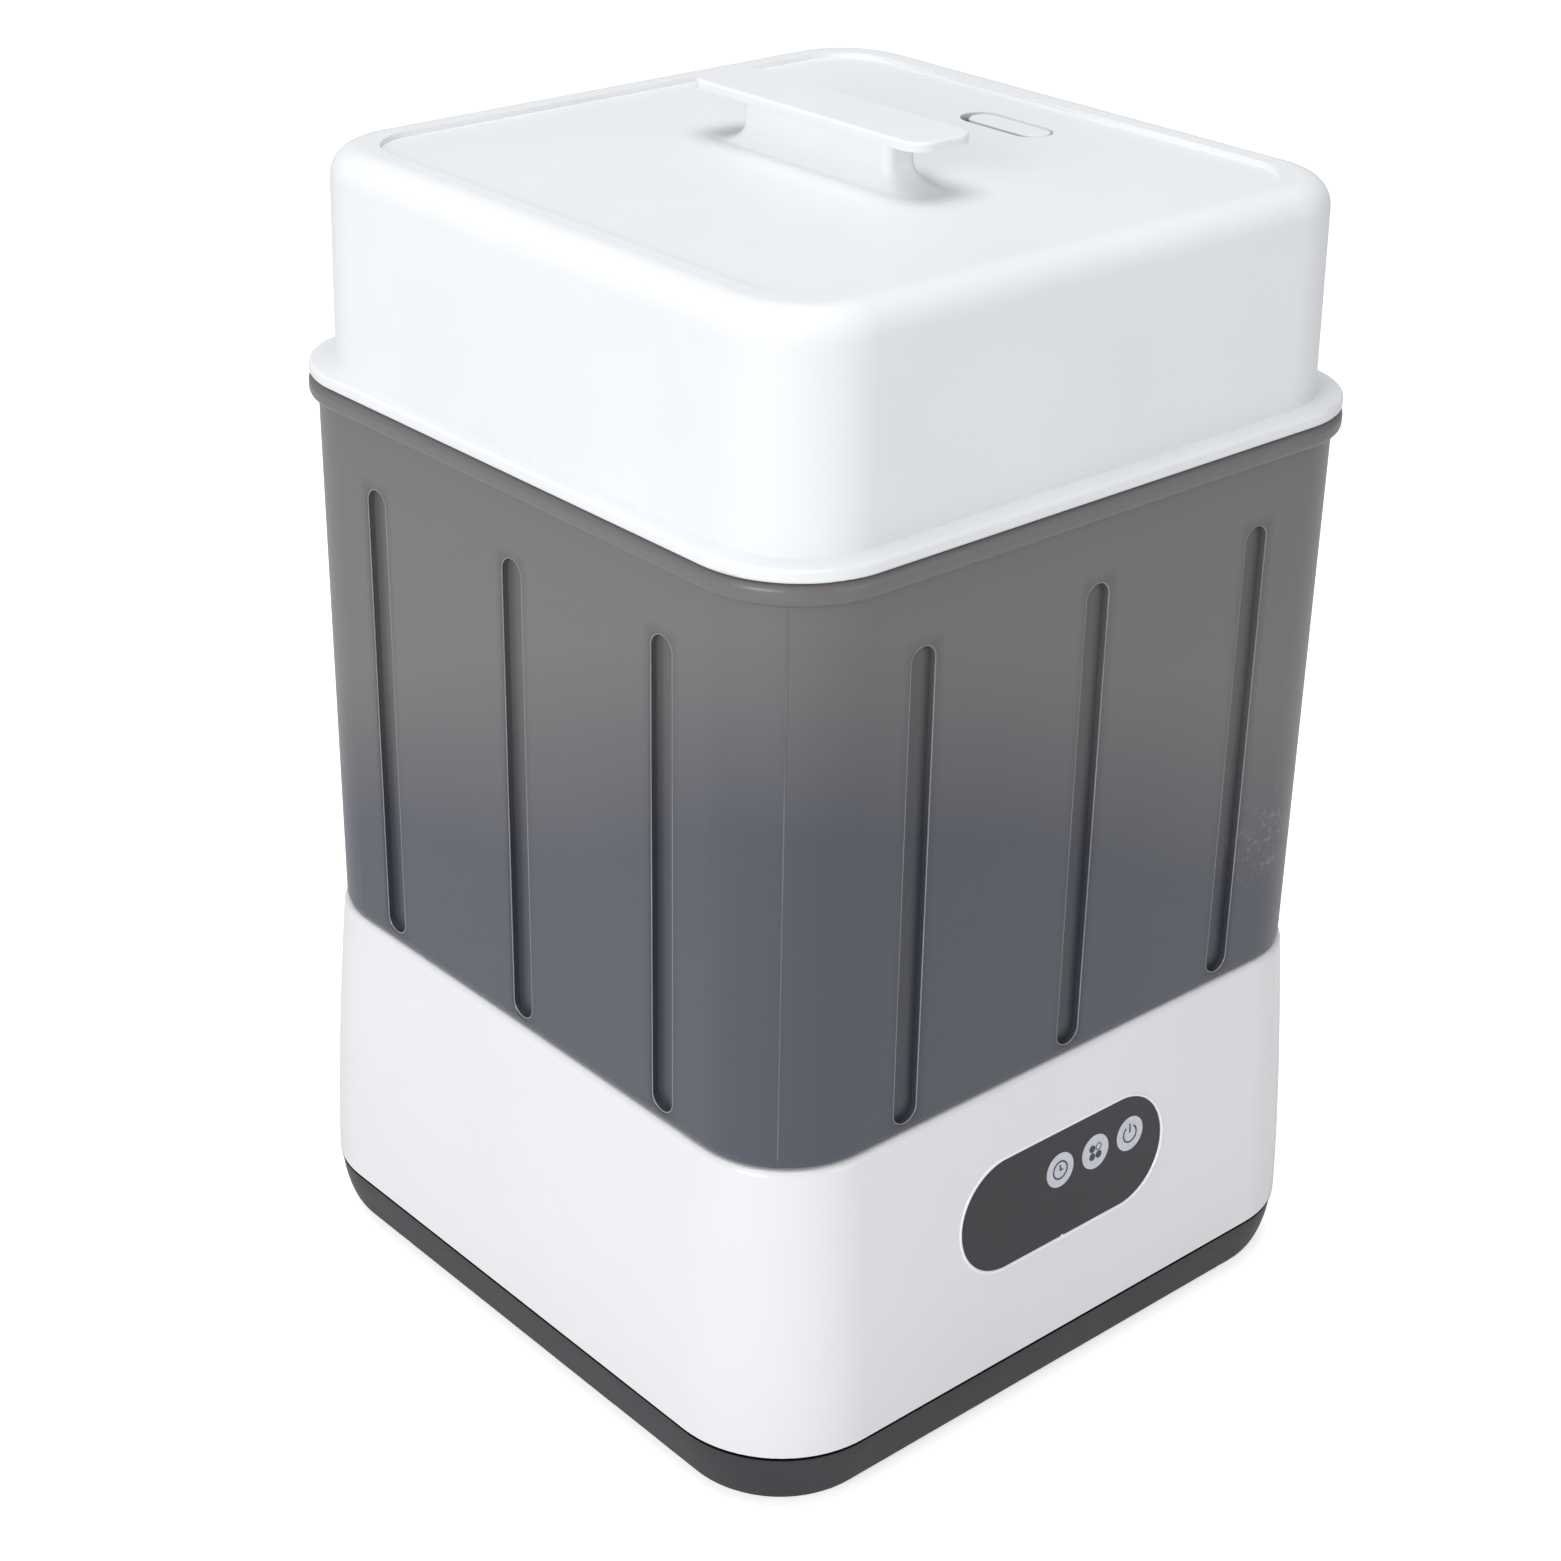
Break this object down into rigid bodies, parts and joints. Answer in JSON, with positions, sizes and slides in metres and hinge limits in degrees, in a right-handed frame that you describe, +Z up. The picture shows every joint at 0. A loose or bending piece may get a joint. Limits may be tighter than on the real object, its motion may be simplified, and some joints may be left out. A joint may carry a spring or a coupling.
{
  "type": "electric bottle sterilizer",
  "caption": "Electric steam sterilizer and dryer with a flared base, a smoked square chamber, slotted racks and a tall lift-off lid.",
  "frame": {"origin": "middle of the footprint, on the surface that the rubber feet stand on", "axes": "+X to the right along the face with the control panel, +Y to the back, +Z up; the panel faces -Y"},
  "size_m": [0.252, 0.252, 0.39],
  "materials": {
    "housing_white": "glossy moulded shell",
    "lid_white": "satin moulded shell",
    "chamber_smoke": "satin smoked translucent plastic",
    "cover_black": "fine satin grain",
    "lens_charcoal": "gloss",
    "touch_grey": "printed satin",
    "foot_rubber": "matt",
    "screw_steel": "zinc plated",
    "plate_steel": "pressed and brushed",
    "seal_silicone": "translucent silicone",
    "spreader_alloy": "as cast",
    "element_steel": "sheathed tube",
    "thermo_black": "phenolic",
    "fan_black": "moulded",
    "motor_steel": "satin",
    "duct_grey": "heat resistant plastic",
    "heater_alloy": "finned",
    "board_green": "circuit board",
    "display_black": "gloss",
    "spring_steel": "plated",
    "filter_foam": "open foam",
    "inlet_black": "moulded",
    "pin_brass": "nickel-brass",
    "rack_white": "satin"
  },
  "bodies": {
    "base": {"base_housing": "housing_white", "bottom_cover": "cover_black", "rubber_feet": "foot_rubber", "cover_screws": "screw_steel", "heating_plate": "plate_steel", "plate_gasket": "seal_silicone", "heat_spreader": "spreader_alloy", "heater_element": "element_steel", "plate_bar": "screw_steel", "bar_screws": "screw_steel", "thermostat": "thermo_black", "thermal_fuse": "element_steel", "temperature_sensor": "screw_steel", "fan_housing": "fan_black", "fan_plate": "fan_black", "fan_motor": "motor_steel", "motor_screws": "screw_steel", "air_duct": "duct_grey", "air_heater": "heater_alloy", "air_outlet_cap": "housing_white", "panel_lens": "lens_charcoal", "touch_timer": "touch_grey", "touch_mode": "touch_grey", "touch_power": "touch_grey", "display_module": "display_black", "touch_springs": "spring_steel", "control_board": "board_green", "control_board_screws": "screw_steel", "power_board": "board_green", "power_board_screws": "screw_steel", "power_inlet": "inlet_black", "inlet_pins": "pin_brass", "inlet_screws": "screw_steel"},
    "chamber": {"chamber": "chamber_smoke"},
    "lower_rack": {"lower_rack": "rack_white", "rack_legs": "rack_white", "bottle_pegs": "rack_white"},
    "upper_rack": {"upper_rack": "rack_white", "tray_floor": "rack_white"},
    "lid": {"lid_shell": "lid_white", "lid_handle": "lid_white", "handle_screws": "screw_steel", "vent_insert": "lid_white"},
    "filter_door": {"filter_door": "housing_white", "air_filter": "filter_foam"},
    "impeller": {"fan_impeller": "fan_black"}
  },
  "joints": [
    {"name": "chamber_lift", "type": "slide", "parent": "base", "child": "chamber", "axis": [0, 0, 1], "range_m": [0, 0.06]},
    {"name": "lid_lift", "type": "slide", "parent": "chamber", "child": "lid", "axis": [0, 0, 1], "range_m": [0, 0.4]},
    {"name": "upper_rack_lift", "type": "slide", "parent": "chamber", "child": "upper_rack", "axis": [0, 0, 1], "range_m": [0, 0.28]},
    {"name": "lower_rack_lift", "type": "slide", "parent": "chamber", "child": "lower_rack", "axis": [0, 0, 1], "range_m": [0, 0.2]},
    {"name": "filter_door_pull", "type": "slide", "parent": "base", "child": "filter_door", "axis": [0, 0.9978, 0.0666], "range_m": [0, 0.04]},
    {"name": "fan_spin", "type": "hinge", "parent": "base", "child": "impeller", "pos_m": [-0.054, 0.07, 0.047], "axis": [0, -1, 0], "continuous": true}
  ],
  "couplings": [
    {"joint": "upper_rack_lift", "follows": "lid_lift", "ratio": 0.7},
    {"joint": "lower_rack_lift", "follows": "lid_lift", "ratio": 0.5}
  ]
}
